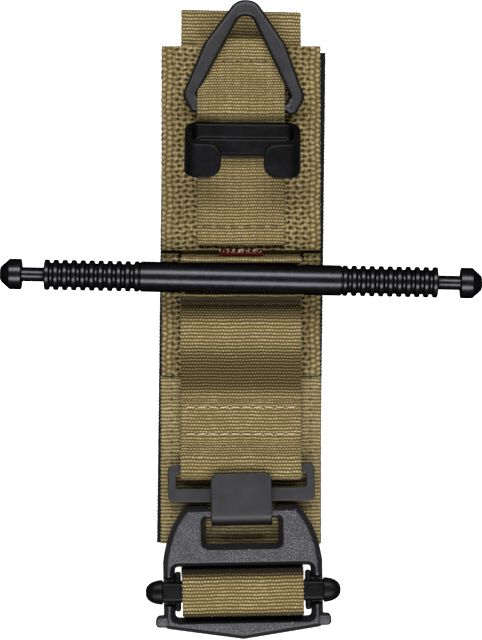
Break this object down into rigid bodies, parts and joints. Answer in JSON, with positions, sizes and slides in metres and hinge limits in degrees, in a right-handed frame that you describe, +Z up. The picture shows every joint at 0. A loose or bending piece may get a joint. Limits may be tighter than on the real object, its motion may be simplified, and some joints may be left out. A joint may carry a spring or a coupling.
{
  "type": "tourniquet",
  "caption": "Windlass limb tourniquet folded flat: webbing strap and stiffened base, turned windlass bar, locking ring, windlass clip, hook plate and slide buckle",
  "frame": {"origin": "centre of the footprint, on the surface that the object lies on", "axes": "+Z up, out of the front; +Y along the strap, towards the locking ring; +X across it, along the windlass"},
  "size_m": [0.15, 0.2003, 0.0297],
  "materials": {
    "webbing": "woven nylon webbing, khaki tan",
    "knit_webbing": "coarse tubular webbing, khaki tan",
    "black_webbing": "woven nylon, black",
    "thread": "bonded sewing thread",
    "black_plastic": "moulded acetal, satin black",
    "grey_plastic": "moulded nylon, fine spark-eroded texture",
    "anodised": "turned bar, black anodised",
    "steel": "stamped steel plate, dark grey coat",
    "stiffener": "plain sheet plastic, sewn inside",
    "label": "plain woven tab, dark red"
  },
  "bodies": {
    "base": {"upper_panel": "knit_webbing", "middle_panel": "knit_webbing", "lower_panel": "webbing", "backing_panel": "black_webbing", "stiffener_plate": "stiffener", "retaining_strip": "webbing", "label_tab": "label", "strip_top_stitches": "thread", "strip_bottom_stitches": "thread", "rear_strap": "webbing", "tension_loop": "webbing", "tension_stitches_upper": "thread", "tension_stitches_lower": "thread", "folded_tail": "webbing", "tail_hem_stitches": "thread", "windlass_clip": "black_plastic"},
    "slack": {"lead_strap": "webbing", "slack_strap": "webbing"},
    "windlass": {"windlass": "anodised", "windlass_strap": "webbing"},
    "ring": {"locking_ring": "black_plastic"},
    "hook": {"hook_plate": "steel"},
    "buckle": {"buckle_frame": "grey_plastic", "buckle_strap": "webbing"},
    "slider": {"slider_bar": "black_plastic"}
  },
  "joints": [
    {"name": "windlass_lift", "type": "slide", "parent": "base", "child": "slack", "axis": [0, 0, 1], "range_m": [0, 0.014], "deforming": ["slack_strap", "lead_strap"]},
    {"name": "windlass_turn", "type": "hinge", "parent": "slack", "child": "windlass", "pos_m": [0, 0.0129, 0.0202], "axis": [0, 0, 1], "range_deg": [-45, 45]},
    {"name": "ring_flip", "type": "hinge", "parent": "base", "child": "ring", "pos_m": [0.00075, 0.0668, 0.016], "axis": [0.9997, -0.0262, 0], "range_deg": [0, 120]},
    {"name": "hook_tilt", "type": "hinge", "parent": "base", "child": "hook", "pos_m": [0, -0.0466, 0.0144], "axis": [-0.9998, -0.0175, 0], "range_deg": [0, 25]},
    {"name": "buckle_swing", "type": "hinge", "parent": "hook", "child": "buckle", "pos_m": [0.00024, -0.0605, 0.0172], "axis": [-0.9998, -0.0175, 0], "range_deg": [0, 60]},
    {"name": "slider_slide", "type": "slide", "parent": "buckle", "child": "slider", "axis": [-0.0175, 0.9998, 0], "range_m": [-0.001, 0.001]}
  ]
}
